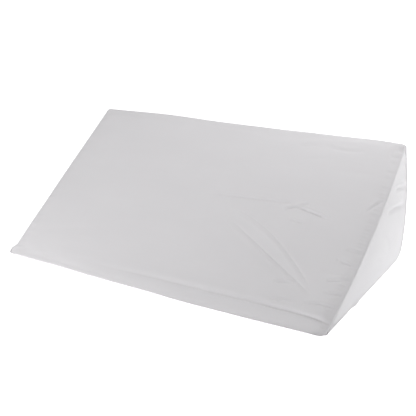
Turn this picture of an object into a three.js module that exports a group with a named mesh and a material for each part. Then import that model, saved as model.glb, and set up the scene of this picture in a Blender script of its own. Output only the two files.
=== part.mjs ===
// A wedge pillow: a triangular block of foam filling a sewn cloth cover.
// One length of cloth wraps the base, the back and the slope, and a triangular panel closes each end.
// Millimetres, +Z up. X runs along the pillow and Y from its thin front edge to its tall back.
// The origin is on the floor, under the middle of the pillow's bounding box.

import * as THREE from 'three';
import { LoftGeometry } from 'three/addons/geometries/LoftGeometry.js';

// The wedge, measured to the sharp corners where its flat faces would meet before they are rounded.
const LENGTH = 600;
const DEPTH = 308.5;
const HEIGHT = 202.5;

// How far the corners of the triangle are rounded by the foam and the cloth.
const TIP_RADIUS = 2.2;
const TOP_RADIUS = 6;
const HEEL_RADIUS = 22;

// How far the faces swell from flat. The back swells most below its middle, and less towards its ends.
const BACK_SWELL = { most: 8, skew: 0.6, fade: 0.5 };
const END_SWELL = { most: 8, roundness: 0.7 };

// How far the end seams bow out of the flat ends along each side. The top left corner is pulled in.
const SEAM_BOW = { slopeLeft: -2, slopeRight: 6.8, skewRight: 1.35, back: 5.2, base: 0.5, topLeft: -4.3 };

// The end panels: their cloth, and the rounded edge that the seam makes.
const CLOTH = 1.5;
const SEAM_GAP = 0.3;
const SEAM_ROLL = 8;
const SEAM_DROP = 2.2;
const RIM_TURN = 0.5;
const THIN_EDGE_ROLL = 0.35;

// Steps of the surface.
const TIP_STEPS = 4;
const TOP_STEPS = 5;
const HEEL_STEPS = 6;
const BASE_ROWS = [0.05, 0.14, 0.26, 0.4, 0.55, 0.7, 0.84, 0.94];
const BACK_ROWS = [0.1, 0.25, 0.4, 0.55, 0.7, 0.85, 0.96];
const SLOPE_STEP = 9.5;
const PLAIN_STEP = 26;
const FOLDED_STEP = 8.8;
const FOLDED_FROM = 30;
const FOLDED_TO = 272;
const SEAM_STEPS = [0, 0.7, 2.4, 5, 8, 14];
const END_RINGS = [0.85, 0.66, 0.44, 0.2, 0];

// The fold along the front: a low roll of slack cloth over a trough, by distance up from the trough.
const LIP = [
  { above: -21, lift: 0 },
  { above: -14, lift: -0.1 },
  { above: -8, lift: -0.4 },
  { above: -3.5, lift: -1.2 },
  { above: 0, lift: -1.9 },
  { above: 3, lift: -0.5 },
  { above: 6.5, lift: 1 },
  { above: 11, lift: 0.9 },
  { above: 17, lift: 0.4 },
  { above: 26, lift: 0 },
];

// Where that fold's trough lies along the pillow, and how strong it is there.
const LIP_COURSE = [
  { x: -300, trough: 27, strength: 0 },
  { x: -130, trough: 27, strength: 0.05 },
  { x: -60, trough: 29, strength: 0.3 },
  { x: 20, trough: 31, strength: 0.6 },
  { x: 110, trough: 32, strength: 0.9 },
  { x: 180, trough: 33, strength: 1 },
  { x: 250, trough: 29.5, strength: 1 },
  { x: 285, trough: 27, strength: 1 },
  { x: 300, trough: 26, strength: 0.42 },
];
const LIP_ROWS_TROUGH = 31;

// The top edge isn't level: it swells between its corners, a little less in its middle.
// Its shape reaches down to a share of the pillow's height.
const TOP_EDGE_FROM = 0.6;
const TOP_EDGE = [
  { x: -300, lift: 0 },
  { x: -150, lift: 3.6 },
  { x: -35, lift: 1.4 },
  { x: 65, lift: 1.7 },
  { x: 165, lift: 2.7 },
  { x: 245, lift: 3.4 },
  { x: 300, lift: 0 },
];

// The front edge waves a little, and is drawn back at its corners, further at the left.
// Its shape reaches this far back.
const FRONT_EDGE_REACH = 60;
const FRONT_EDGE = [
  { x: -300, back: 6 },
  { x: -280, back: 3.5 },
  { x: -200, back: 3.8 },
  { x: -115, back: -1.1 },
  { x: -15, back: -2.7 },
  { x: 75, back: -6.7 },
  { x: 165, back: -5.8 },
  { x: 285, back: -2.9 },
  { x: 300, back: 2.4 },
];

// Single folds of the cover on the slope: a shallow arc from one end to the other.
const FOLDS = [
  { fromX: 94, fromUp: 147, bendX: 182, bendUp: 104, toX: 258, toUp: 66, lift: -2, width: 9 },
  { fromX: 62, fromUp: 187, bendX: 155, bendUp: 167, toX: 247, toUp: 78, lift: 1.8, width: 10 },
  { fromX: 22, fromUp: 207, bendX: 95, bendUp: 213, toX: 182, toUp: 214, lift: -1.4, width: 8 },
  { fromX: 172, fromUp: 208, bendX: 196, bendUp: 206, toX: 232, toUp: 196, lift: -1.2, width: 8 },
  { fromX: 122, fromUp: 331, bendX: 180, bendUp: 338, toX: 242, toUp: 333, lift: -1, width: 10 },
];

// Broad hollows and swells of the slope, which fade out towards its front and top edges.
const SWELL_FADE = 60;
const SWELLS = [
  { x: 0, up: 190, reach: 420, lift: -1.5 },
  { x: 205, up: 108, reach: 95, lift: -4 },
  { x: -30, up: 170, reach: 150, lift: -1.5 },
  { x: -215, up: 95, reach: 90, lift: 1.2 },
  { x: 190, up: 300, reach: 95, lift: 2 },
];

const COLOURS = { wrap: 0xd9d8da, endPanel: 0xe0dfe1 };
const ROUGHNESS = 0.92;

const SLOPE_ANGLE = Math.atan2(HEIGHT, DEPTH);

// The value of one column of a table at a place in another, smoothly joined from row to row.
function lookUp(table, at, place, column) {
  if (place <= table[0][at]) return table[0][column];
  for (let i = 1; i < table.length; i++) {
    const a = table[i - 1];
    const b = table[i];
    if (place > b[at]) continue;
    const t = (place - a[at]) / (b[at] - a[at]);
    return THREE.MathUtils.lerp(a[column], b[column], t * t * (3 - 2 * t));
  }
  return table[table.length - 1][column];
}

// A corner of the wedge's triangular outline, rounded to an arc between its two neighbours.
function corner(before, at, after, radius, steps) {
  const back = before.clone().sub(at).normalize();
  const on = after.clone().sub(at).normalize();
  const half = Math.acos(back.dot(on)) / 2;
  const centre = back.clone().add(on).setLength(radius / Math.sin(half)).add(at);
  const start = back.clone().multiplyScalar(radius / Math.tan(half)).add(at).sub(centre);
  const rows = [];
  for (let i = 0; i <= steps; i++) {
    const turn = ((Math.PI - 2 * half) * i) / steps;
    const normal = start.clone().rotateAround(new THREE.Vector2(), turn).normalize();
    const point = normal.clone().multiplyScalar(radius).add(centre);
    rows.push({ side: 'corner', y: point.x, z: point.y, ny: normal.x, nz: normal.y, along: 0, depth: radius });
  }
  return { radius, half, rows };
}

// The rows of a straight side between two corners, at the given shares of its length.
// A row's depth is how far it lies from the line where the wedge's inner bisectors run.
function straightSide(side, first, last, shares) {
  const a = first.rows.at(-1);
  const b = last.rows[0];
  const length = Math.hypot(b.y - a.y, b.z - a.z);
  return shares.map((along) => {
    const fromFirst = first.radius + along * length * Math.tan(first.half);
    const fromLast = last.radius + (1 - along) * length * Math.tan(last.half);
    const y = THREE.MathUtils.lerp(a.y, b.y, along);
    const z = THREE.MathUtils.lerp(a.z, b.z, along);
    return { side, y, z, ny: a.ny, nz: a.nz, along, depth: Math.min(fromFirst, fromLast) };
  });
}

// Shares of the slope, from the top down: even rows, then the lip's own.
function slopeShares(tip, top) {
  const lowest = tip.radius / Math.tan(tip.half);
  const length = Math.hypot(DEPTH, HEIGHT) - lowest - top.radius / Math.tan(top.half);
  const lipEnd = LIP_ROWS_TROUGH + LIP.at(-1).above;
  const count = Math.round((length + lowest - lipEnd) / SLOPE_STEP);
  const ups = [];
  for (let i = 1; i < count; i++) ups.push(THREE.MathUtils.lerp(length + lowest, lipEnd, i / count));
  for (const row of LIP.toReversed()) {
    const up = LIP_ROWS_TROUGH + row.above;
    if (up > lowest + 1) ups.push(up);
  }
  return ups.map((up) => (length + lowest - up) / length);
}

// The whole outline, going round from the front edge: base, heel, back, top and slope.
function triangleOutline() {
  const front = new THREE.Vector2(-DEPTH / 2, 0);
  const rear = new THREE.Vector2(DEPTH / 2, 0);
  const peak = new THREE.Vector2(DEPTH / 2, HEIGHT);
  const tip = corner(peak, front, rear, TIP_RADIUS, TIP_STEPS);
  const heel = corner(front, rear, peak, HEEL_RADIUS, HEEL_STEPS);
  const top = corner(rear, peak, front, TOP_RADIUS, TOP_STEPS);
  const base = straightSide('base', tip, heel, BASE_ROWS);
  const back = straightSide('back', heel, top, BACK_ROWS);
  const slope = straightSide('slope', top, tip, slopeShares(tip, top));
  return [...tip.rows, ...base, ...heel.rows, ...back, ...top.rows, ...slope];
}

// How strongly a fold lifts the slope at (x, up): full along its middle, fading to its ends and sides.
function foldLift(fold, x, up) {
  const curve = new THREE.QuadraticBezierCurve(
    new THREE.Vector2(fold.fromX, fold.fromUp),
    new THREE.Vector2(fold.bendX, fold.bendUp),
    new THREE.Vector2(fold.toX, fold.toUp),
  );
  const here = new THREE.Vector2(x, up);
  const points = curve.getPoints(24);
  const distances = points.map((point) => point.distanceTo(here));
  const nearest = distances.indexOf(Math.min(...distances));
  const fade = Math.sqrt(Math.sin((Math.PI * nearest) / (points.length - 1)));
  return fold.lift * fade * Math.exp(-((distances[nearest] / fold.width) ** 2));
}

// How far the cloth of the slope stands off the flat wedge at (x, up).
function slopeLift(x, up) {
  const trough = lookUp(LIP_COURSE, 'x', x, 'trough');
  const strength = lookUp(LIP_COURSE, 'x', x, 'strength');
  let lift = strength * lookUp(LIP, 'above', up - trough, 'lift');
  for (const fold of FOLDS) lift += foldLift(fold, x, up);
  const fromEdge = Math.min(up, Math.hypot(DEPTH, HEIGHT) - up);
  const held = THREE.MathUtils.smoothstep(fromEdge, 5, SWELL_FADE);
  for (const swell of SWELLS) {
    const away = Math.hypot(x - swell.x, up - swell.up) / swell.reach;
    lift += held * swell.lift * Math.exp(-away * away);
  }
  return lift;
}

// How far the cloth stands off the flat wedge, at an outline row and a place along the pillow.
function clothLift(row, x) {
  const up = (row.y + DEPTH / 2) * Math.cos(SLOPE_ANGLE) + row.z * Math.sin(SLOPE_ANGLE);
  if (row.side === 'slope') return slopeLift(x, up);
  const swell = Math.sin(Math.PI * (row.z / HEIGHT) ** BACK_SWELL.skew);
  const alongPillow = 1 - (BACK_SWELL.fade * x * x) / LENGTH ** 2;
  return BACK_SWELL.most * swell * Math.max(0, row.ny) * alongPillow;
}

// The place of an outline row at x along the pillow, standing `out` beyond the flat wedge.
function place(row, x, out) {
  const high = THREE.MathUtils.clamp((row.z / HEIGHT - TOP_EDGE_FROM) / (1 - TOP_EDGE_FROM), 0, 1);
  const nearFront = THREE.MathUtils.clamp(1 - (row.y + DEPTH / 2) / FRONT_EDGE_REACH, 0, 1);
  return new THREE.Vector2(
    row.y + row.ny * out + lookUp(FRONT_EDGE, 'x', x, 'back') * nearFront ** 2,
    row.z + row.nz * out + lookUp(TOP_EDGE, 'x', x, 'lift') * high * high,
  );
}

// How far the end seam bows along the slope on the left (-1) or right (1) hand.
// At the right it bows most above the middle.
function slopeBow(high, hand) {
  if (hand < 0) return SEAM_BOW.slopeLeft * Math.sin(Math.PI * high);
  return SEAM_BOW.slopeRight * Math.sin(Math.PI * high ** SEAM_BOW.skewRight);
}

// How far the end seam bows out of the flat end at this row, on the left (-1) or right (1) hand.
function seamBow(row, hand) {
  const high = row.z / HEIGHT;
  const across = (row.y + DEPTH / 2) / DEPTH;
  const pull = hand < 0 ? SEAM_BOW.topLeft * high ** 8 : 0;
  if (row.side === 'slope') return pull + slopeBow(high, hand);
  if (row.side === 'back') return pull + SEAM_BOW.back * Math.sin(Math.PI * high);
  if (row.side === 'base') return pull + SEAM_BOW.base * Math.sin(Math.PI * across);
  return pull + SEAM_BOW.back * Math.sin(Math.PI * high) * across;
}

// Distances along the pillow from its left seam: close at the seams, and close where it is folded.
function stations() {
  const half = LENGTH / 2;
  const inner = half - SEAM_STEPS.at(-1);
  const places = SEAM_STEPS.map((step) => step - half);
  const fill = (from, to, step) => {
    const count = Math.round((to - from) / step);
    for (let i = 1; i <= count; i++) places.push(THREE.MathUtils.lerp(from, to, i / count));
  };
  fill(-inner, FOLDED_FROM, PLAIN_STEP);
  fill(FOLDED_FROM, FOLDED_TO, FOLDED_STEP);
  fill(FOLDED_TO, inner, FOLDED_STEP);
  return [...places, ...SEAM_STEPS.toReversed().slice(1).map((step) => half - step)];
}

// How far the cloth of an outline row has rolled inwards at a distance from the seam.
// Where the wedge thins out to its front edge, the roll is shallower.
function rollDrop(row, fromSeam) {
  const deepest = Math.min(SEAM_DROP, row.depth * THIN_EDGE_ROLL);
  const t = THREE.MathUtils.clamp(1 - fromSeam / SEAM_ROLL, 0, 1);
  return deepest * (1 - Math.sqrt(1 - t * t));
}

const outline = triangleOutline();

// How far an end panel swells at a point of the triangle: most at its middle, nothing at its sides.
function endSwell(y, z) {
  const fromBack = (DEPTH / 2 - y) / DEPTH;
  const fromBase = z / HEIGHT;
  const fromSlope = 1 - fromBack - fromBase;
  const bubble = 27 * Math.max(0, fromBack) * Math.max(0, fromBase) * Math.max(0, fromSlope);
  return END_SWELL.most * bubble ** END_SWELL.roundness;
}

// A ring of the end face, drawn in to `share` of the outline, standing `out` beyond the pillow's end.
// It shrinks towards the inner bisectors at first, and then to the middle point, which closes the face.
function endRing(hand, share, out) {
  const inRadius = (DEPTH + HEIGHT - Math.hypot(DEPTH, HEIGHT)) / 2;
  const middle = new THREE.Vector2(DEPTH / 2 - inRadius, inRadius);
  const x = (hand * LENGTH) / 2;
  return outline.map((row) => {
    const edge = place(row, x, clothLift(row, x) * share ** 1.5 - rollDrop(row, 0));
    const target = place(row, x, -row.depth).lerp(middle, (1 - share) ** 3);
    const point = target.lerp(edge, share);
    const swell = seamBow(row, hand) * share ** 2 + endSwell(point.x, point.y);
    return new THREE.Vector3(hand * (LENGTH / 2 + swell + out), point.x, point.y);
  });
}

// The filled body: the wrapping cloth from seam to seam, and the swelling end faces under the panels.
function pillowBody() {
  const seat = -CLOTH - SEAM_GAP;
  const half = LENGTH / 2;
  const wrap = stations().map((x) =>
    outline.map((row) => {
      const point = place(row, x, clothLift(row, x) - rollDrop(row, half - Math.abs(x)));
      const reach = (half + seamBow(row, x) + seat) / half;
      return new THREE.Vector3(x * reach, point.x, point.y);
    }),
  );
  const left = END_RINGS.map((share) => endRing(-1, share, seat)).reverse();
  const right = END_RINGS.map((share) => endRing(1, share, seat));
  return new LoftGeometry([...left, ...wrap, ...right]);
}

// One end panel: a triangle of cloth lying on the end face, its rim turned a little into the seam.
function endPanel(hand) {
  const under = [...END_RINGS.toReversed(), 1].map((share) => endRing(hand, share, -CLOTH));
  const rim = endRing(hand, 1, -RIM_TURN);
  const over = END_RINGS.map((share) => endRing(hand, share, 0));
  const rings = [...under, rim, ...over];
  if (hand < 0) rings.forEach((ring) => ring.reverse());
  return new LoftGeometry(rings);
}

function piece(name, geometry, colour) {
  const material = new THREE.MeshStandardMaterial({ color: colour, roughness: ROUGHNESS, metalness: 0 });
  const mesh = new THREE.Mesh(geometry, material);
  mesh.name = name;
  return mesh;
}

const pillow = new THREE.Group();
pillow.add(
  piece('filled_wrap', pillowBody(), COLOURS.wrap),
  piece('end_panel_left', endPanel(-1), COLOURS.endPanel),
  piece('end_panel_right', endPanel(1), COLOURS.endPanel),
);

// Stand the pillow with the middle of its bounding box over the origin.
const box = new THREE.Box3().setFromObject(pillow);
pillow.position.set(-(box.min.x + box.max.x) / 2, -(box.min.y + box.max.y) / 2, -box.min.z);

export default pillow;
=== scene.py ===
# A wedge pillow in a plain white cotton cover, seen from its front right corner.
# Metres, +Z up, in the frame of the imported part.

import bmesh
import bpy
import numpy as np
from mathutils import Matrix, Vector, kdtree


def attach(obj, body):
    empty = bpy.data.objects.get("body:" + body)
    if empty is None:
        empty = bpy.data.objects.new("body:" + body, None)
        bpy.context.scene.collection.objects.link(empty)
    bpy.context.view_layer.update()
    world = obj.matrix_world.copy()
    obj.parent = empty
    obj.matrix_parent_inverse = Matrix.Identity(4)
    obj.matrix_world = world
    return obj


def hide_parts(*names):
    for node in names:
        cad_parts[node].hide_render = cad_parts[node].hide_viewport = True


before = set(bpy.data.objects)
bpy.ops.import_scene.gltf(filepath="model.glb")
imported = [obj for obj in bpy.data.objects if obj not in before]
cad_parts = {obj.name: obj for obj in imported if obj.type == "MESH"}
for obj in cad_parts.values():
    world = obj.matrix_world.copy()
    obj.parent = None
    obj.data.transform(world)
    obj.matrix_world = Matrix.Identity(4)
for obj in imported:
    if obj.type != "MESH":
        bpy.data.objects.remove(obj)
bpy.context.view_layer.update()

# The wedge's sharp corners, before the foam and cloth round them.
DEPTH = 0.3085
HEIGHT = 0.2025
FRONT_Y = -0.15809
SLOPE_LENGTH = float(np.hypot(DEPTH, HEIGHT))
UP_SLOPE = np.array([0.0, DEPTH, HEIGHT]) / SLOPE_LENGTH
OFF_SLOPE = np.array([0.0, -HEIGHT, DEPTH]) / SLOPE_LENGTH
# The middle of an end panel, as far from all three of its sides: depth and height.
END_MIDDLE = (FRONT_Y + DEPTH - 0.0710, 0.0710)
# Further out than this along the pillow lie its ends, and then the seams round them.
END_ZONE = 0.28
SEAM_ZONE = 0.285
# How far sideways the cloth faces where the wrap and an end panel turn in to their seam.
WRAP_TURN = (0.35, 0.9)
PANEL_TURN = (0.0, 0.8)
SEAM_DEPTH = 0.011
CLOTH_THICKNESS = 0.0015

# Folds of the cover on the slope. Places are (along the pillow, up from the front edge) in
# metres: from one end, a point that bends the fold, and the other end. The lift is negative
# in a trough. A crisp fold has a narrow bottom, and its shoulder is a low roll on the uphill
# (+) or downhill (-) side.
SLOPE_FOLDS = [
    # from            bend            to               lift     width   crisp shoulder
    ((0.074, 0.163), (0.176, 0.110), (0.262, 0.060), -0.0014, 0.0034, 0.9, -0.6),
    ((0.056, 0.190), (0.158, 0.168), (0.250, 0.074), -0.0010, 0.0034, 0.8, -0.7),
    ((0.150, 0.152), (0.200, 0.118), (0.240, 0.084), -0.0007, 0.0040, 0.8, 0.0),
    ((0.016, 0.206), (0.095, 0.212), (0.176, 0.214), -0.0019, 0.0036, 0.8, 0.4),
    ((0.154, 0.201), (0.172, 0.208), (0.190, 0.217), -0.0022, 0.0027, 0.8, 0.6),
    ((0.174, 0.208), (0.200, 0.206), (0.231, 0.196), -0.0023, 0.0029, 0.8, 0.6),
    ((0.170, 0.183), (0.184, 0.183), (0.198, 0.180), -0.0015, 0.0024, 0.8, 0.4),
    ((0.190, 0.073), (0.206, 0.074), (0.226, 0.079), -0.0016, 0.0030, 0.6, 0.4),
    ((0.196, 0.042), (0.215, 0.043), (0.238, 0.049), -0.0014, 0.0030, 0.6, 0.4),
    ((0.250, 0.047), (0.270, 0.052), (0.299, 0.052), -0.0015, 0.0028, 0.8, 0.5),
    ((0.268, 0.092), (0.284, 0.094), (0.303, 0.102), -0.0018, 0.0030, 0.8, 0.5),
    ((0.270, 0.129), (0.283, 0.127), (0.299, 0.123), -0.0020, 0.0028, 0.8, 0.4),
    ((0.254, 0.107), (0.268, 0.104), (0.286, 0.108), -0.0010, 0.0040, 0.3, 0.0),
    ((0.276, 0.148), (0.288, 0.150), (0.302, 0.146), -0.0012, 0.0026, 0.6, 0.4),
    ((0.285, 0.221), (0.292, 0.232), (0.300, 0.247), -0.0010, 0.0024, 0.6, 0.4),
    ((0.272, 0.072), (0.284, 0.071), (0.300, 0.076), -0.0012, 0.0024, 0.6, 0.4),
    ((0.128, 0.330), (0.145, 0.332), (0.160, 0.336), -0.0006, 0.0035, 0.6, 0.4),
    ((0.176, 0.337), (0.206, 0.326), (0.244, 0.335), -0.0008, 0.0035, 0.6, 0.5),
    ((0.136, 0.302), (0.168, 0.308), (0.200, 0.312), -0.0005, 0.0045, 0.4, 0.0),
    ((0.200, 0.290), (0.232, 0.286), (0.270, 0.291), -0.0004, 0.0050, 0.3, 0.0),
    ((-0.270, 0.060), (-0.200, 0.090), (-0.120, 0.096), -0.0005, 0.0090, 0.0, 0.0),
    ((-0.292, 0.290), (-0.250, 0.262), (-0.215, 0.215), -0.0005, 0.0080, 0.0, 0.0),
]

# Folds of the cover on the back: along the pillow, then height.
BACK_FOLDS = [
    ((-0.285, 0.030), (-0.190, 0.060), (-0.110, 0.058), -0.0010, 0.0090, 0.2, 0.3),
    ((-0.240, 0.150), (-0.120, 0.120), (0.020, 0.128), -0.0008, 0.0110, 0.1, 0.3),
    ((0.080, 0.046), (0.180, 0.066), (0.285, 0.040), -0.0010, 0.0090, 0.2, 0.3),
    ((0.120, 0.160), (0.200, 0.142), (0.290, 0.158), -0.0008, 0.0080, 0.2, 0.3),
]

# Folds of the right end panel: depth, then height.
RIGHT_END_FOLDS = [
    ((0.092, 0.140), (0.120, 0.136), (0.150, 0.126), -0.0028, 0.0040, 0.4, 0.5),
    ((0.055, 0.114), (0.105, 0.110), (0.156, 0.094), -0.0030, 0.0048, 0.4, 0.5),
    ((0.004, 0.050), (0.024, 0.046), (0.048, 0.030), -0.0010, 0.0060, 0.2, 0.0),
    ((0.030, 0.086), (0.062, 0.070), (0.080, 0.040), -0.0006, 0.0080, 0.1, 0.0),
]
LEFT_END_FOLDS = [
    ((0.080, 0.138), (0.112, 0.130), (0.148, 0.128), -0.0009, 0.0055, 0.4, 0.4),
    ((0.020, 0.060), (0.060, 0.066), (0.100, 0.052), -0.0008, 0.0070, 0.2, 0.3),
]

# Folds narrower than this need a finer net.
NARROW_FOLD = 0.0045

# The fold along the front edge: how far up its trough lies, and how strong it is there, at
# places along the pillow. Then the lift of the cloth by how far it lies above the trough.
LIP_X = [-0.300, -0.130, -0.060, 0.020, 0.110, 0.180, 0.250, 0.285, 0.300]
LIP_TROUGH = [0.0270, 0.0265, 0.0270, 0.0283, 0.0286, 0.0290, 0.0293, 0.0270, 0.0260]
LIP_STRENGTH = [0.0, 0.0, 0.10, 0.32, 0.6, 0.9, 1.0, 1.0, 0.6]
LIP_ABOVE = [
    -0.030, -0.024, -0.012, -0.0055, -0.0025, 0.0, 0.0025, 0.006, 0.010, 0.016, 0.024,
]
LIP_LIFT = [
    -0.0014, -0.0016, -0.0001, 0.0008, 0.0006, -0.0009, 0.0, 0.0008, 0.0008, 0.0003, 0.0,
]

# Small things at places of the seams: where, how far round it, how abruptly, and the move.
CORNER_MOVES = [
    # a tab of cloth at the front left corner, and the dimple beside it
    ((-0.3005, -0.1436, 0.0106), (0.0125, 0.0100, 0.0100), 4, (-0.0060, 0.0, 0.0003)),
    ((-0.3005, -0.1570, 0.0015), (0.0125, 0.0070, 0.0055), 3, (0.0030, 0.0008, 0.0024)),
    ((-0.2950, -0.1475, 0.0070), (0.0070, 0.0090, 0.0070), 3, (0.0, 0.0010, -0.0016)),
    # the front right corner, turned in
    ((0.3000, -0.1565, 0.0020), (0.0085, 0.0075, 0.0070), 3, (-0.0020, 0.0012, 0.0012)),
    # the front edge lies a little further out
    ((0.0000, -0.1580, 0.0000), (0.5000, 0.0120, 0.0080), 2, (0.0, -0.0014, 0.0)),
    # the left seam bows out a little halfway up, and the top edge rises at its right end
    ((-0.3000, 0.0000, 0.1050), (0.0300, 0.1000, 0.0700), 2, (-0.0013, 0.0, 0.0)),
    ((0.2950, 0.1480, 0.1980), (0.0450, 0.0140, 0.0140), 2, (0.0, 0.0006, 0.0019)),
    # the pinch where the right seam ends at the top
    ((0.2980, 0.1345, 0.1915), (0.0045, 0.0050, 0.0045), 3, (-0.0012, 0.0, -0.0030)),
    # a lump in the right seam along the base, and the dip in front of it
    ((0.3000, -0.0440, 0.0030), (0.0100, 0.0085, 0.0120), 3, (0.0015, 0.0, -0.0004)),
    ((0.3000, -0.0660, 0.0030), (0.0100, 0.0080, 0.0120), 3, (-0.0005, 0.0, 0.0003)),
]

# The cotton's two colours, mixed by the height of its weave and at random by a mottle. The first
# is painted shade in the gaps of the weave, the second painted light on its raised threads.
COVER_COLOURS = (0.780, 0.766, 0.784), (0.850, 0.836, 0.852)
# the end panels have the same cotton a little darker: painted shade
END_SHADED_COLOURS = (0.762, 0.754, 0.766), (0.830, 0.822, 0.834)

CAMERA_PLACE = (0.68902, -1.05082, 0.55592)
CAMERA_LENS = 69.21
FLOOR_REACH = 100.0
# How much the floor glows on what stands on it, and how much more in the picture itself.
FLOOR_GLOW = 0.58
SEEN_GLOW = 0.48
WORLD_GLOW = 0.12
SOFT_LIGHTS = [
    # name             place                  aim               size  power
    ("front low", (-0.3, -1.4, 0.3), (0.0, 0.0, 0.05), 0.9, 9.5),
    ("front left near", (-0.55, -0.75, 0.25), (-0.2, -0.1, 0.03), 0.4, 1.4),
    ("back high", (0.1, 1.0, 1.1), (0.0, 0.0, 0.1), 0.9, 6.6),
    ("right back low", (1.1, 0.6, 0.3), (0.3, 0.0, 0.1), 0.6, 3.3),
    ("near top right", (0.35, 0.30, 0.75), (0.2, 0.1, 0.15), 0.4, 2.15),
    ("near top left", (-0.45, 0.10, 0.75), (-0.2, 0.0, 0.1), 0.4, 0.45),
]


def coordinates(mesh):
    flat = np.empty(len(mesh.vertices) * 3)
    mesh.vertices.foreach_get("co", flat)
    return flat.reshape(-1, 3)


def normals(mesh):
    flat = np.empty(len(mesh.vertices) * 3)
    mesh.vertices.foreach_get("normal", flat)
    return flat.reshape(-1, 3)


def move_to(mesh, places):
    mesh.vertices.foreach_set("co", places.ravel())
    mesh.update()


def smoothstep(low, high, value):
    t = np.clip((value - low) / (high - low), 0.0, 1.0)
    return t * t * (3.0 - 2.0 * t)


def up_slope(co):
    """How far up the slope each place lies, from the front edge."""
    return (co[:, 1] - FRONT_Y) * UP_SLOPE[1] + co[:, 2] * UP_SLOPE[2]


def search_tree(places):
    tree = kdtree.KDTree(len(places))
    for i, place in enumerate(places):
        tree.insert(place, i)
    tree.balance()
    return tree


def fold_line(fold, points):
    """Places along a fold, from one end round its bend to the other end."""
    start, bend, end = (np.array(place) for place in fold[:3])
    t = np.linspace(0.0, 1.0, points)[:, None]
    return (1 - t) ** 2 * start + 2 * t * (1 - t) * bend + t**2 * end


def fold_lift(fold, across, along):
    """How far one fold lifts the cloth at each place, fading out at both of its ends."""
    lift, width, crisp, shoulder = fold[3:]
    line = fold_line(fold, 161)
    reach = width * 4 + 0.004
    near = (
        (across > line[:, 0].min() - reach) & (across < line[:, 0].max() + reach)
        & (along > line[:, 1].min() - reach) & (along < line[:, 1].max() + reach)
    )
    lifted = np.zeros(len(across))
    here = np.stack([across[near], along[near]], axis=1)
    if not len(here):
        return lifted
    away = np.linalg.norm(here[:, None, :] - line[None, :, :], axis=2)
    nearest = away.argmin(axis=1)
    tangent = np.gradient(line, axis=0)[nearest]
    offset = here - line[nearest]
    side = np.sign(tangent[:, 0] * offset[:, 1] - tangent[:, 1] * offset[:, 0])
    distance = away.min(axis=1)
    fade = np.sin(np.pi * nearest / (len(line) - 1)) ** 0.5
    soft = np.exp(-((distance / width) ** 2))
    sharp = np.exp(-distance / (0.55 * width))
    crest = np.sign(shoulder) * 2.0 * width
    roll = np.exp(-(((side * distance - crest) / (1.1 * width)) ** 2))
    lifted[near] = lift * fade * ((1 - crisp) * soft + crisp * sharp - abs(shoulder) * roll)
    return lifted


def ripple(place, seed, shortest=0.006, longest=0.022):
    """An uneven wave along a seam, from -1 to 1, as its stitches pull the cloth."""
    source = np.random.default_rng(seed)
    wave = np.zeros(len(place))
    total = 0.0
    for _ in range(9):
        length = source.uniform(shortest, longest)
        weight = source.uniform(0.4, 1.0)
        wave += weight * np.sin(2 * np.pi * (place / length + source.uniform()))
        total += weight
    return wave / (0.55 * total)


def undulation(a, b, seed, size):
    """A slow, shallow unevenness over a face, from about -1 to 1."""
    source = np.random.default_rng(seed)
    wave = np.zeros(len(a))
    for _ in range(7):
        turn = source.uniform(0, 2 * np.pi)
        length = size * source.uniform(0.6, 1.8)
        run = (a * np.cos(turn) + b * np.sin(turn)) / length
        wave += np.sin(2 * np.pi * (run + source.uniform()))
    return wave / 4.0


def around_end(co):
    """How far round the end's outline each place lies, and how far in from that outline.

    The way round goes up the slope, down the back and along the base.
    """
    off = (co[:, 1] - FRONT_Y) * OFF_SLOPE[1] + co[:, 2] * OFF_SLOPE[2]
    from_back = FRONT_Y + DEPTH - co[:, 1]
    gaps = np.stack([-off, from_back, co[:, 2]], axis=1)
    side = gaps.argmin(axis=1)
    down_back = SLOPE_LENGTH + HEIGHT - co[:, 2]
    along_base = SLOPE_LENGTH + HEIGHT + from_back
    return np.choose(side, [up_slope(co), down_back, along_base]), gaps.min(axis=1)


def from_seam(co, out, turned):
    """How far each place lies from the nearest end seam, where the cloth turns over an edge."""
    _, inset = around_end(co)
    sideways = np.abs(out[:, 0])
    edge = (np.abs(co[:, 0]) > SEAM_ZONE) & (inset < SEAM_DEPTH)
    edge &= (sideways > turned[0]) & (sideways < turned[1])
    tree = search_tree(co[edge])
    return np.array([tree.find(place)[2] for place in co])


def corner_moves(co):
    """The sum of the small moves of the cloth round their places."""
    moves = np.zeros_like(co)
    for centre, reach, steep, move in CORNER_MOVES:
        away = np.linalg.norm((co - np.array(centre)) / np.array(reach), axis=1)
        moves += np.exp(-(away**steep))[:, None] * np.array(move)
    return moves


def copy_of_solid(node, name):
    """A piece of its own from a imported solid: one welded skin of four-sided faces."""
    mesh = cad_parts[node].data.copy()
    piece = bpy.data.objects.new(name, mesh)
    bpy.context.scene.collection.objects.link(piece)
    mesh.name = name
    mesh.materials.clear()
    bpy.ops.object.select_all(action="DESELECT")
    piece.select_set(True)
    bpy.context.view_layer.objects.active = piece
    bpy.ops.object.mode_set(mode="EDIT")
    bpy.ops.mesh.select_all(action="SELECT")
    bpy.ops.mesh.remove_doubles(threshold=1e-5)
    bpy.ops.mesh.tris_convert_to_quads(face_threshold=3.14, shape_threshold=3.14)
    bpy.ops.object.mode_set(mode="OBJECT")
    return piece


def keep_rim_sharp(mesh, turn=1.0, crease_weight=0.9):
    """The cut rim of a cloth, where it turns by over a radian, stays an edge in a finer skin."""
    edit = bmesh.new()
    edit.from_mesh(mesh)
    crease = edit.edges.layers.float.new("crease_edge")
    for edge in edit.edges:
        if len(edge.link_faces) == 2 and edge.calc_face_angle() > turn:
            edge[crease] = crease_weight
    edit.to_mesh(mesh)
    edit.free()


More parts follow.
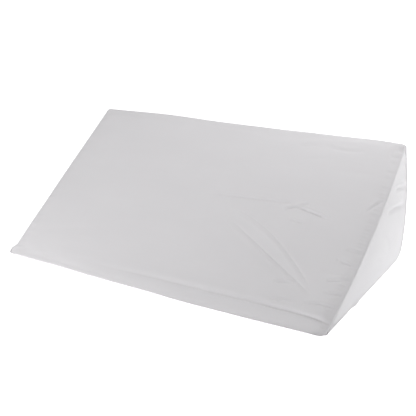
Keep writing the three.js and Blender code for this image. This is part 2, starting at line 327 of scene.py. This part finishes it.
def relay_middle(mesh, rim_width=0.006):
    """Inside its rim an end panel gets an even net on both faces, ring by ring to the middle."""
    gaps = from_seam(coordinates(mesh), normals(mesh), PANEL_TURN)
    edit = bmesh.new()
    edit.from_mesh(mesh)
    inner = [vertex for vertex, gap in zip(edit.verts, gaps) if gap > rim_width]
    bmesh.ops.delete(edit, geom=inner, context="VERTS")
    loose = dict.fromkeys(edge for edge in edit.edges if edge.is_boundary)
    while loose:
        edge, _ = loose.popitem()
        ring = list(edge.verts)
        while edge:
            edge = next((other for other in ring[-1].link_edges if other in loose), None)
            if edge:
                del loose[edge]
                ring.append(edge.other_vert(ring[-1]))
        ring.pop()
        middle = Vector((sum(vertex.co.x for vertex in ring) / len(ring), *END_MIDDLE))
        outer = ring
        for tenths in range(9, 0, -1):
            inner = [edit.verts.new(middle.lerp(vertex.co, tenths / 10)) for vertex in ring]
            for a, b, c, d in zip(outer, outer[1:] + outer[:1], inner[1:] + inner[:1], inner):
                edit.faces.new((a, b, c, d))
            outer = inner
        centre = edit.verts.new(middle)
        for a, b in zip(outer, outer[1:] + outer[:1]):
            edit.faces.new((a, b, centre))
    bmesh.ops.recalc_face_normals(edit, faces=edit.faces)
    edit.to_mesh(mesh)
    edit.free()


def subdivide(piece, levels):
    modifier = piece.modifiers.new("finer", "SUBSURF")
    modifier.levels = modifier.render_levels = levels
    modifier.boundary_smooth = "PRESERVE_CORNERS"
    bpy.context.view_layer.objects.active = piece
    bpy.ops.object.modifier_apply(modifier=modifier.name)


def refine_folds(mesh):
    """The net of the slope is made finer along its narrow folds and by the right seam."""
    co = coordinates(mesh)
    up = up_slope(co)
    by_seam = (co[:, 0] > 0.270) & (up > 0.035) & (up < 0.250)
    by_front_fold = (co[:, 0] > -0.13) & (up > 0.019) & (up < 0.041)
    folded = by_seam | by_front_fold
    reach = 0.009
    for fold in SLOPE_FOLDS:
        if fold[4] < NARROW_FOLD:
            line = fold_line(fold, 41)
            apart = np.hypot(co[:, 0, None] - line[:, 0], up[:, None] - line[:, 1])
            folded |= apart.min(axis=1) < reach
    folded &= normals(mesh) @ OFF_SLOPE > 0.6
    edit = bmesh.new()
    edit.from_mesh(mesh)
    for face in edit.faces:
        face.tag = all(folded[vertex.index] for vertex in face.verts)
    edges = [edge for edge in edit.edges if any(face.tag for face in edge.link_faces)]
    bmesh.ops.subdivide_edges(edit, edges=edges, cuts=1, use_grid_fill=True)
    edit.to_mesh(mesh)
    edit.free()
    mesh.update()


def settle_cover(piece):
    """The cover's cloth presses out round the foam.

    It is held at its end seams and where it lies on the floor, and starts a little slack.
    """
    slack = 0.0012
    stitched = 0.0045
    on_floor = 0.002
    most = 0.0016
    last_frame = 20
    mesh = piece.data
    before = coordinates(mesh)
    out = normals(mesh)
    start = before - out * slack
    start[:, 2] = np.maximum(start[:, 2], 0.0)
    held = (np.abs(before[:, 0]) > END_ZONE) & (np.abs(out[:, 0]) > 0.5)
    held |= from_seam(before, out, WRAP_TURN) < stitched
    held |= before[:, 2] < on_floor
    start[held] = before[held]
    move_to(mesh, start)
    group = piece.vertex_groups.new(name="sewn")
    group.add([int(i) for i in np.flatnonzero(held)], 1.0, "REPLACE")
    cloth = piece.modifiers.new("cotton", "CLOTH")
    settings = cloth.settings
    settings.vertex_group_mass = "sewn"
    settings.quality = 6
    settings.mass = 0.2
    settings.tension_stiffness = settings.compression_stiffness = 30.0
    settings.shear_stiffness = 12.0
    settings.bending_stiffness = 1.5
    settings.use_pressure = True
    settings.uniform_pressure_force = 4.0
    settings.shrink_min = -0.004
    settings.effector_weights.gravity = 0.0
    cloth.point_cache.frame_start = 1
    cloth.point_cache.frame_end = last_frame
    for number in range(1, last_frame + 1):
        bpy.context.scene.frame_set(number)
    bpy.context.view_layer.objects.active = piece
    bpy.ops.object.modifier_apply(modifier=cloth.name)
    piece.vertex_groups.clear()
    after = coordinates(piece.data)
    moved = after - before
    far = np.linalg.norm(moved, axis=1)
    capped = most * np.tanh(far / most) / np.maximum(far, 1e-9)
    moved *= np.where(far > 0, capped, 1.0)[:, None]
    moved -= out * np.minimum((moved * out).sum(axis=1), 0.0)[:, None]
    settled = before + moved
    settled[:, 2] = np.maximum(settled[:, 2], 0.0)
    move_to(piece.data, settled)
    bpy.context.scene.frame_set(1)


def crease_cover(piece):
    """Folds, seam puckers and the front fold of the long cloth, mostly along its normals."""
    mesh = piece.data
    co = coordinates(mesh)
    out = normals(mesh)
    up = up_slope(co)
    on_slope = smoothstep(0.75, 0.93, out @ OFF_SLOPE)
    on_back = smoothstep(0.75, 0.95, out[:, 1])
    on_base = smoothstep(0.6, 0.9, -out[:, 2]) * (co[:, 2] < 0.012)
    lift = np.zeros(len(co))
    for fold in SLOPE_FOLDS:
        lift += on_slope * fold_lift(fold, co[:, 0], up)
    for fold in BACK_FOLDS:
        lift += on_back * fold_lift(fold, co[:, 0], co[:, 2])
    trough = np.interp(co[:, 0], LIP_X, LIP_TROUGH) + 0.0006 * ripple(co[:, 0], 21, 0.03, 0.11)
    strength = np.interp(co[:, 0], LIP_X, LIP_STRENGTH)
    in_front = on_slope * (up < 0.07)
    lift += in_front * strength * np.interp(up - trough, LIP_ABOVE, LIP_LIFT)
    lift += on_slope * 0.0004 * undulation(co[:, 0], up, 5, 0.11)
    lift += on_back * 0.0010 * undulation(co[:, 0], co[:, 2], 6, 0.12)
    # stitches pull the cloth unevenly along its seams, least in the middle of the slope
    away = from_seam(co, out, WRAP_TURN)
    place, _ = around_end(co)
    wave = np.where(co[:, 0] > 0, ripple(place, 31), ripple(place, 32))
    facing = 1.0 - smoothstep(0.5, 0.9, np.abs(out[:, 0]))
    pull = np.exp(-(((away - 0.006) / 0.005) ** 2)) * facing
    calm = 1.0 - 0.6 * np.exp(-(((place - 0.20) / 0.06) ** 2))
    lift += pull * 0.00055 * wave * calm
    lift *= 1.0 - on_base
    # the slope rounds off toward its seams, most at the right end near the floor
    right_dip = 0.0026 * smoothstep(0.11, 0.02, up)
    left_dip = 0.0007 + 0.0012 * smoothstep(0.06, 0.0, up)
    valley = np.where(co[:, 0] > 0, right_dip, left_dip) * (place < SLOPE_LENGTH)
    valley *= np.exp(-((away / 0.0065) ** 2))
    hand = np.sign(co[:, 0])
    under_end = (np.abs(co[:, 0]) > END_ZONE) & (np.abs(out[:, 0]) > 0.85)
    hidden = under_end * smoothstep(0.002, 0.010, away)
    co += out * lift[:, None] - OFF_SLOPE * valley[:, None] + corner_moves(co)
    # the rim meets the end panel, and the wrap's hidden end draws back behind it
    rim_out = 0.0028 * np.exp(-((away / 0.006) ** 2))
    co[:, 0] += hand * (rim_out - 0.004 * hidden)
    co[:, 2] = np.maximum(co[:, 2], 0.0)
    move_to(mesh, co)


def crease_end(piece, hand, folds):
    """Folds and seam puckers of an end panel, on its outer and inner face alike."""
    mesh = piece.data
    co = coordinates(mesh)
    place, _ = around_end(co)
    inset = from_seam(co, normals(mesh), PANEL_TURN)
    press_out(mesh, co, hand, inset)
    lift = np.zeros(len(co))
    for fold in folds:
        lift += fold_lift(fold, co[:, 1], co[:, 2])
    lift += 0.0005 * undulation(co[:, 1], co[:, 2], 40 + hand, 0.07)
    lift *= smoothstep(0.0, 0.012, inset)
    wave = ripple(place, 33 + hand)
    lift += 0.0004 * wave * np.exp(-(((inset - 0.004) / 0.004) ** 2))
    co[:, 0] += hand * lift
    co += corner_moves(co)
    co[:, 2] = np.maximum(co[:, 2], 0.0004)
    move_to(mesh, co)


def outer_side(mesh, co):
    """Which way the skin faces at each point along the pillow, from its larger triangles."""
    mesh.calc_loop_triangles()
    corners = np.empty(len(mesh.loop_triangles) * 3, dtype=int)
    mesh.loop_triangles.foreach_get("vertices", corners)
    corners = corners.reshape(-1, 3)
    a, b, c = (co[corners[:, k]] for k in range(3))
    facing = np.cross(b - a, c - a)[:, 0]
    return sum(np.bincount(corners[:, k], facing, len(co)) for k in range(3))


def press_out(mesh, co, hand, inset):
    """The foam presses an end panel out like a skin that is held along its rim.

    The skin is worked out on a grid of (depth, height), by relaxing it until it is even.
    """
    step = 0.0025
    depths = np.arange(FRONT_Y - 0.01, FRONT_Y + DEPTH + 0.01, step)
    heights = np.arange(-0.01, HEIGHT + 0.01, step)
    y, z = np.meshgrid(depths, heights, indexing="ij")
    _, inside = around_end(np.stack([np.zeros(y.size), y.ravel(), z.ravel()], axis=1))
    inside = inside.reshape(y.shape)
    rim = co[inset < 0.0006]
    tree = search_tree(rim * (0.0, 1.0, 1.0))
    flat = np.full(y.shape, 0.3)
    border = (inside <= 0.002) & (inside > -0.008)
    for i, j in np.argwhere(border):
        near = tree.find_n((0.0, y[i, j], z[i, j]), 8)
        flat[i, j] = max(hand * rim[k][0] for _, k, _ in near)
    free = inside > 0.002
    bulge = np.zeros(y.shape)
    load = step * step
    for _ in range(5000):
        for skin, pressed in ((flat, 0.0), (bulge, load)):
            around = skin[2:, 1:-1] + skin[:-2, 1:-1] + skin[1:-1, 2:] + skin[1:-1, :-2]
            skin[1:-1, 1:-1] = np.where(free[1:-1, 1:-1], around / 4 + pressed, skin[1:-1, 1:-1])
    most = (co[:, 0] * hand).max()
    top = np.unravel_index(bulge.argmax(), bulge.shape)
    skin = flat + bulge * (most - flat[top]) / bulge[top]
    u = np.clip((co[:, 1] - depths[0]) / step, 0, len(depths) - 1.001)
    v = np.clip((co[:, 2] - heights[0]) / step, 0, len(heights) - 1.001)
    i, j = u.astype(int), v.astype(int)
    u, v = u - i, v - j
    pressed = (skin[i, j] * (1 - u) + skin[i + 1, j] * u) * (1 - v)
    pressed += (skin[i, j + 1] * (1 - u) + skin[i + 1, j + 1] * u) * v
    inner = outer_side(mesh, co) * hand < 0
    pressed -= CLOTH_THICKNESS * inner
    free = smoothstep(0.001, 0.009, inset)
    co[:, 0] += free * (hand * pressed - co[:, 0])


def lay_cloth_grid(piece, side_on):
    """A UV map in metres that runs with the threads: along the pillow, and round it."""
    mesh = piece.data
    layer = mesh.uv_layers.new(name="threads")
    corners = np.empty(len(mesh.loops), dtype=int)
    mesh.loops.foreach_get("vertex_index", corners)
    facing = np.empty(len(mesh.polygons) * 3)
    mesh.polygons.foreach_get("normal", facing)
    facing = facing.reshape(-1, 3)
    counts = np.empty(len(mesh.polygons), dtype=int)
    mesh.polygons.foreach_get("loop_total", counts)
    facing = np.repeat(facing, counts, axis=0)
    co = coordinates(mesh)[corners]
    toward = np.stack([facing @ OFF_SLOPE, facing[:, 1], -facing[:, 2]], axis=1)
    side = toward.argmax(axis=1)
    down_back = SLOPE_LENGTH + HEIGHT - co[:, 2]
    along_base = SLOPE_LENGTH + HEIGHT + DEPTH - co[:, 1]
    around = np.choose(side, [up_slope(co), down_back, along_base])
    across = co[:, 0]
    if side_on:
        across, around = co[:, 1], co[:, 2]
    layer.data.foreach_set("uv", np.stack([across, around], axis=1).ravel())


def add_node(tree, kind, x, y, **values):
    node = tree.nodes.new(kind)
    node.location = (x, y)
    for name, value in values.items():
        setattr(node, name, value)
    return node


def add_math(tree, operation, x, y, *numbers, **values):
    """A Math node with its second and third number set, where they are given."""
    node = add_node(tree, "ShaderNodeMath", x, y, operation=operation, **values)
    for socket, number in zip(node.inputs[1:], numbers):
        socket.default_value = number
    return node


def new_group(name, numbers, outputs):
    """A shader group that takes a place on the cloth and some numbers, with its end nodes."""
    group = bpy.data.node_groups.new(name, "ShaderNodeTree")
    add_socket = group.interface.new_socket
    add_socket(name="Cloth Place", in_out="INPUT", socket_type="NodeSocketVector")
    for title, value in numbers.items():
        socket = add_socket(name=title, in_out="INPUT", socket_type="NodeSocketFloat")
        socket.default_value = value
    for title in outputs:
        add_socket(name=title, in_out="OUTPUT", socket_type="NodeSocketFloat")
    taken = add_node(group, "NodeGroupInput", -1100, 0)
    given = add_node(group, "NodeGroupOutput", 700, 0)
    return group, taken, given


def plain_weave_group():
    """Over and under threads, each a little thick or thin along its run."""
    numbers = {"Threads per Metre": 1800.0, "Slub": 0.5}
    group, taken, given = new_group("plain weave", numbers, ("Height", "Shade"))
    link = group.links.new
    split = add_node(group, "ShaderNodeSeparateXYZ", -900, 100)
    link(taken.outputs["Cloth Place"], split.inputs[0])
    waves = []
    for index, axis in enumerate(("X", "Y")):
        count = add_math(group, "MULTIPLY", -720, 200 - 200 * index)
        link(split.outputs[axis], count.inputs[0])
        link(taken.outputs["Threads per Metre"], count.inputs[1])
        turn = add_math(group, "MULTIPLY", -560, 200 - 200 * index, 3.14159)
        link(count.outputs[0], turn.inputs[0])
        wave = add_math(group, "SINE", -400, 200 - 200 * index)
        link(turn.outputs[0], wave.inputs[0])
        waves.append(wave)
    cross = add_math(group, "MULTIPLY", -220, 100)
    link(waves[0].outputs[0], cross.inputs[0])
    link(waves[1].outputs[0], cross.inputs[1])
    slubs = []
    for index, stretch in enumerate(((14.0, 420.0, 1.0), (420.0, 14.0, 1.0))):
        down = -260 - 220 * index
        run = add_node(group, "ShaderNodeVectorMath", -720, down, operation="MULTIPLY")
        run.inputs[1].default_value = stretch
        link(taken.outputs["Cloth Place"], run.inputs[0])
        noise = add_node(group, "ShaderNodeTexNoise", -540, down)
        noise.inputs["Scale"].default_value = 1.0
        noise.inputs["Detail"].default_value = 3.0
        link(run.outputs[0], noise.inputs["Vector"])
        slubs.append(noise)
    both = add_math(group, "ADD", -320, -320)
    link(slubs[0].outputs["Fac"], both.inputs[0])
    link(slubs[1].outputs["Fac"], both.inputs[1])
    centred = add_math(group, "SUBTRACT", -160, -320, 1.0)
    link(both.outputs[0], centred.inputs[0])
    uneven = add_math(group, "MULTIPLY", 0, -320)
    link(centred.outputs[0], uneven.inputs[0])
    link(taken.outputs["Slub"], uneven.inputs[1])
    half = add_math(group, "MULTIPLY_ADD", -40, 100, 0.3, 0.5)
    link(cross.outputs[0], half.inputs[0])
    height = add_math(group, "ADD", 200, 100)
    link(half.outputs[0], height.inputs[0])
    link(uneven.outputs[0], height.inputs[1])
    # the shade is painted: darker in the gaps of the weave and lighter on its raised threads
    shade = add_math(group, "MULTIPLY_ADD", 400, -100, 0.7, 0.15, use_clamp=True)
    link(height.outputs[0], shade.inputs[0])
    link(height.outputs[0], given.inputs["Height"])
    link(shade.outputs[0], given.inputs["Shade"])
    return group


def soft_rumple_group():
    """Faint wrinkles of washed cotton, longer across the cloth than up it."""
    numbers = {"Scale": 18.0, "Stretch": 2.2}
    group, taken, given = new_group("soft rumple", numbers, ("Height", "Mottle"))
    link = group.links.new
    split = add_node(group, "ShaderNodeSeparateXYZ", -720, 0)
    link(taken.outputs["Cloth Place"], split.inputs[0])
    rise = add_math(group, "MULTIPLY", -560, -80)
    link(split.outputs["Y"], rise.inputs[0])
    link(taken.outputs["Stretch"], rise.inputs[1])
    place = add_node(group, "ShaderNodeCombineXYZ", -400, 0)
    link(split.outputs["X"], place.inputs["X"])
    link(rise.outputs[0], place.inputs["Y"])
    link(split.outputs["Z"], place.inputs["Z"])
    broad = add_node(group, "ShaderNodeTexNoise", -200, 120)
    broad.inputs["Detail"].default_value = 4.0
    broad.inputs["Roughness"].default_value = 0.45
    broad.inputs["Distortion"].default_value = 0.6
    link(place.outputs[0], broad.inputs["Vector"])
    link(taken.outputs["Scale"], broad.inputs["Scale"])
    mottle = add_node(group, "ShaderNodeTexNoise", -200, -160)
    mottle.inputs["Scale"].default_value = 7.0
    mottle.inputs["Detail"].default_value = 2.0
    link(place.outputs[0], mottle.inputs["Vector"])
    link(broad.outputs["Fac"], given.inputs["Height"])
    link(mottle.outputs["Fac"], given.inputs["Mottle"])
    return group


WEAVE = plain_weave_group()
RUMPLE = soft_rumple_group()


def white_cotton(name, shadow_colour, light_colour):
    """Plain white cotton: a fine weave, faint rumples, and a soft bloom at grazing angles."""
    material = bpy.data.materials.new(name)
    material.use_nodes = True
    tree = material.node_tree
    tree.nodes.clear()
    link = tree.links.new
    out = add_node(tree, "ShaderNodeOutputMaterial", 700, 0)
    cloth = add_node(tree, "ShaderNodeBsdfPrincipled", 420, 0)
    cloth.inputs["Sheen Weight"].default_value = 0.12
    cloth.inputs["Sheen Roughness"].default_value = 0.5
    cloth.inputs["Specular IOR Level"].default_value = 0.25
    link(cloth.outputs[0], out.inputs["Surface"])
    threads = add_node(tree, "ShaderNodeUVMap", -1100, 0, uv_map="threads")
    weave = add_node(tree, "ShaderNodeGroup", -860, 200, node_tree=WEAVE)
    rumple = add_node(tree, "ShaderNodeGroup", -860, -200, node_tree=RUMPLE)
    link(threads.outputs["UV"], weave.inputs["Cloth Place"])
    link(threads.outputs["UV"], rumple.inputs["Cloth Place"])
    # the colour runs from painted shade to painted light with the weave's height, and at random
    # with the mottle
    blend = add_math(tree, "MULTIPLY_ADD", -560, 260, 0.45, use_clamp=True)
    link(weave.outputs["Shade"], blend.inputs[0])
    mottle = add_math(tree, "MULTIPLY", -700, 60, 0.55)
    link(rumple.outputs["Mottle"], mottle.inputs[0])
    link(mottle.outputs[0], blend.inputs[2])
    colour = add_node(tree, "ShaderNodeMix", -340, 260, data_type="RGBA")
    colour.inputs[6].default_value = (*shadow_colour, 1.0)
    colour.inputs[7].default_value = (*light_colour, 1.0)
    link(blend.outputs[0], colour.inputs[0])
    link(colour.outputs[2], cloth.inputs["Base Color"])
    rough = add_node(tree, "ShaderNodeMapRange", -340, 40)
    rough.inputs["To Min"].default_value = 0.95
    rough.inputs["To Max"].default_value = 0.84
    link(weave.outputs["Shade"], rough.inputs["Value"])
    link(rough.outputs[0], cloth.inputs["Roughness"])
    soft = add_node(tree, "ShaderNodeBump", -120, -200)
    soft.inputs["Strength"].default_value = 0.35
    soft.inputs["Distance"].default_value = 0.0012
    link(rumple.outputs["Height"], soft.inputs["Height"])
    fine = add_node(tree, "ShaderNodeBump", 120, -120)
    fine.inputs["Strength"].default_value = 0.3
    fine.inputs["Distance"].default_value = 0.00008
    link(weave.outputs["Height"], fine.inputs["Height"])
    link(soft.outputs[0], fine.inputs["Normal"])
    link(fine.outputs[0], cloth.inputs["Normal"])
    return material


def shade_smooth(piece):
    piece.data.polygons.foreach_set("use_smooth", [True] * len(piece.data.polygons))
    piece.data.update()


def make_cover():
    cover = copy_of_solid("filled_wrap", "filled_cover")
    keep_rim_sharp(cover.data)
    subdivide(cover, 1)
    settle_cover(cover)
    subdivide(cover, 1)
    refine_folds(cover.data)
    crease_cover(cover)
    lay_cloth_grid(cover, side_on=False)
    shade_smooth(cover)
    cover.data.materials.append(white_cotton("cover cotton", *COVER_COLOURS))
    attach(cover, "root")
    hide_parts("filled_wrap")


def make_end(node, name, hand, folds, cotton):
    end = copy_of_solid(node, name)
    relay_middle(end.data)
    subdivide(end, 2)
    crease_end(end, hand, folds)
    lay_cloth_grid(end, side_on=True)
    shade_smooth(end)
    end.data.materials.append(cotton)
    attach(end, "root")
    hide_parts(node)


def make_camera():
    data = bpy.data.cameras.new("camera")
    data.sensor_width = 36.0
    data.lens = CAMERA_LENS
    data.clip_start, data.clip_end = 0.05, 250.0
    camera = bpy.data.objects.new("camera", data)
    bpy.context.scene.collection.objects.link(camera)
    right = Vector((0.84852022, 0.52830755, -0.03007592))
    upward = Vector((-0.16067075, 0.31137481, 0.93660591))
    forward = Vector((-0.50418086, 0.78989674, -0.3490914))
    turn = Matrix((right, upward, -forward)).transposed().to_4x4()
    camera.matrix_world = Matrix.Translation(CAMERA_PLACE) @ turn
    bpy.context.scene.camera = camera


def make_floor():
    mesh = bpy.data.meshes.new("floor")
    edit = bmesh.new()
    bmesh.ops.create_grid(edit, x_segments=1, y_segments=1, size=FLOOR_REACH)
    edit.to_mesh(mesh)
    edit.free()
    floor = bpy.data.objects.new("floor", mesh)
    bpy.context.scene.collection.objects.link(floor)
    floor.location.z = -0.0002
    material = bpy.data.materials.new("pale floor")
    material.use_nodes = True
    tree = material.node_tree
    shader = tree.nodes["Principled BSDF"]
    shader.inputs["Base Color"].default_value = (0.80, 0.80, 0.81, 1.0)
    shader.inputs["Roughness"].default_value = 1.0
    shader.inputs["Specular IOR Level"].default_value = 0.0
    shader.inputs["Emission Color"].default_value = (1.0, 1.0, 1.0, 1.0)
    seen = add_node(tree, "ShaderNodeLightPath", -600, -200)
    glow = add_math(tree, "MULTIPLY_ADD", -300, -200, SEEN_GLOW, FLOOR_GLOW)
    tree.links.new(seen.outputs["Is Camera Ray"], glow.inputs[0])
    tree.links.new(glow.outputs[0], shader.inputs["Emission Strength"])
    floor.data.materials.append(material)


def soft_light(name, place, aim, size, power):
    data = bpy.data.lights.new(name, "AREA")
    data.shape = "SQUARE"
    data.size = size
    data.energy = power
    light = bpy.data.objects.new(name, data)
    bpy.context.scene.collection.objects.link(light)
    light.location = place
    light.rotation_mode = "QUATERNION"
    light.rotation_quaternion = (Vector(aim) - Vector(place)).to_track_quat("-Z", "Y")


def make_light():
    world = bpy.data.worlds.new("studio")
    bpy.context.scene.world = world
    world.use_nodes = True
    background = world.node_tree.nodes["Background"]
    background.inputs["Color"].default_value = (1.0, 1.0, 1.0, 1.0)
    background.inputs["Strength"].default_value = WORLD_GLOW
    for light in SOFT_LIGHTS:
        soft_light(*light)


make_camera()
make_cover()
# the end panels' cotton is the cover's, painted a little darker as shade
end_cotton = white_cotton("end cotton", *END_SHADED_COLOURS)
make_end("end_panel_right", "right_end", 1, RIGHT_END_FOLDS, end_cotton)
make_end("end_panel_left", "left_end", -1, LEFT_END_FOLDS, end_cotton)
make_floor()
make_light()
bpy.context.scene.view_settings.view_transform = "Standard"
